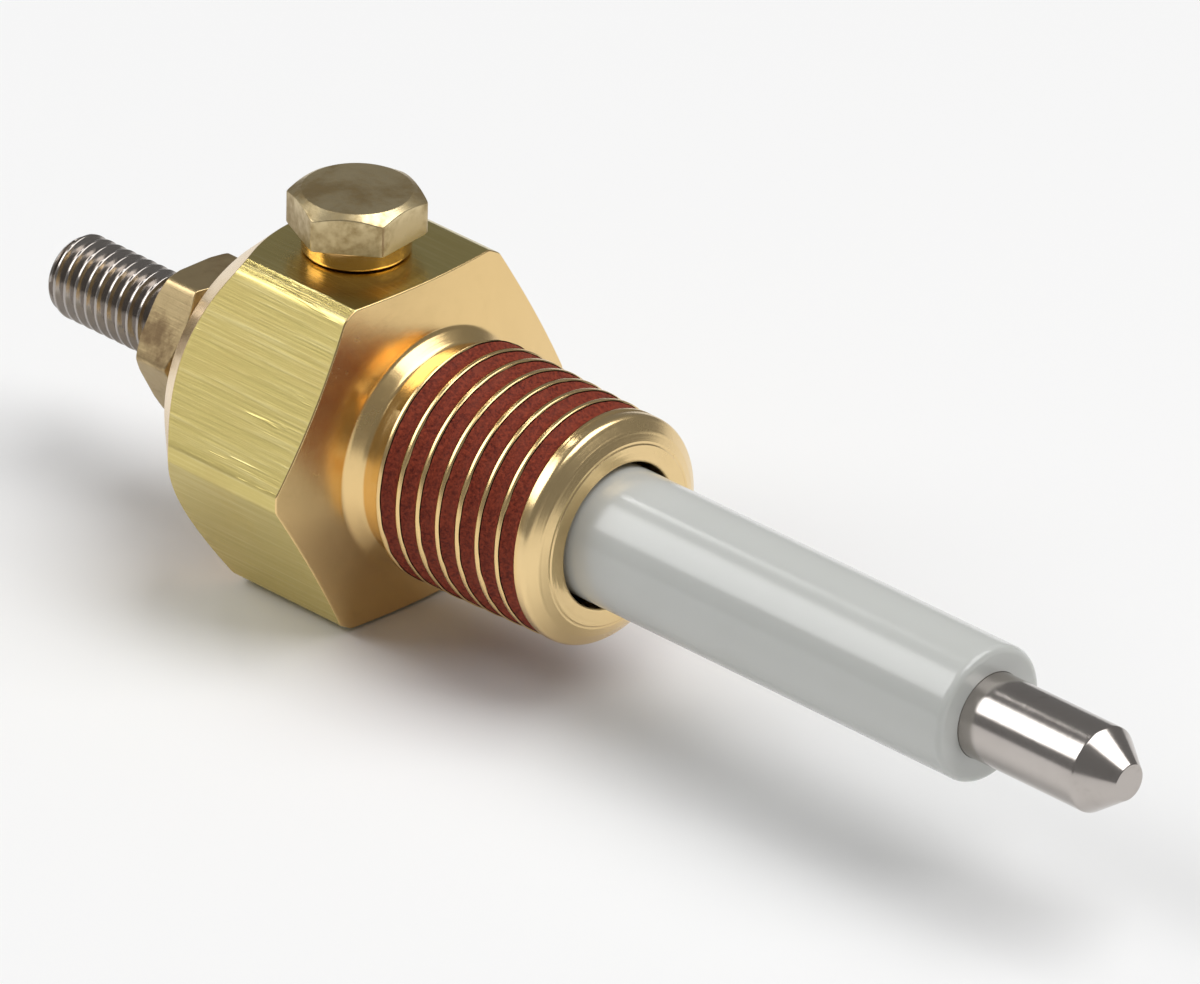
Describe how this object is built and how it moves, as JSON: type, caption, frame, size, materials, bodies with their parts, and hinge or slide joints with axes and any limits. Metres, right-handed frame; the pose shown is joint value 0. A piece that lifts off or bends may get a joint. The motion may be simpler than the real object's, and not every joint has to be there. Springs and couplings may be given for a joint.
{
  "type": "electrode probe",
  "caption": "Slim electrode probe: hex brass plug with tapered pipe thread, insulating sleeve over a bare-tipped metal rod, threaded rear terminal with nut, and a side ground screw.",
  "frame": {"origin": "on the probe's axis, in the plane of the plug's front hex corners, behind the tapered thread", "axes": "+X along the probe's axis, from the terminal stud to the bare tip; +Z along the ground screw's axis, out of its flat; +Y across"},
  "size_m": [0.0773, 0.0214, 0.0226],
  "materials": {
    "plug_brass": "machined, partly tarnished",
    "nut_brass": "tarnished",
    "screw_brass": "tarnished, dull",
    "collar_brass": "polished",
    "washer_brass": "tarnished",
    "sealant": "dull dried paste",
    "rod_steel": "finely turned",
    "sleeve_plastic": "satin, slightly translucent",
    "bushing_plastic": "moulded, dark",
    "seal_rubber": "matte"
  },
  "bodies": {
    "plug": {"probe_body": "plug_brass", "thread_sealant": "sealant", "electrode_rod": "rod_steel", "insulating_sleeve": "sleeve_plastic", "seal_ring": "seal_rubber", "rear_bushing": "bushing_plastic"},
    "terminal_washer_body": {"terminal_washer": "washer_brass"},
    "terminal_nut_body": {"terminal_nut": "nut_brass"},
    "ground_collar_body": {"ground_collar": "collar_brass"},
    "ground_screw_body": {"ground_screw": "screw_brass"}
  },
  "joints": [
    {"name": "terminal_travel", "type": "slide", "parent": "plug", "child": "terminal_washer_body", "axis": [-1, 0, 0], "range_m": [0, 0.006]},
    {"name": "terminal_turn", "type": "hinge", "parent": "terminal_washer_body", "child": "terminal_nut_body", "pos_m": [0, 0, 0], "axis": [-1, 0, 0], "range_deg": [0, 2722]},
    {"name": "ground_travel", "type": "slide", "parent": "plug", "child": "ground_collar_body", "axis": [0, 0, 1], "range_m": [0, 0.0025]},
    {"name": "ground_turn", "type": "hinge", "parent": "ground_collar_body", "child": "ground_screw_body", "pos_m": [-0.00495, 0, 0.00953], "axis": [0, 0, 1], "range_deg": [0, 1135]}
  ],
  "couplings": [
    {"joint": "terminal_turn", "follows": "terminal_travel", "rad_per_m": 7915.8},
    {"joint": "ground_turn", "follows": "ground_travel", "rad_per_m": 7915.8}
  ]
}
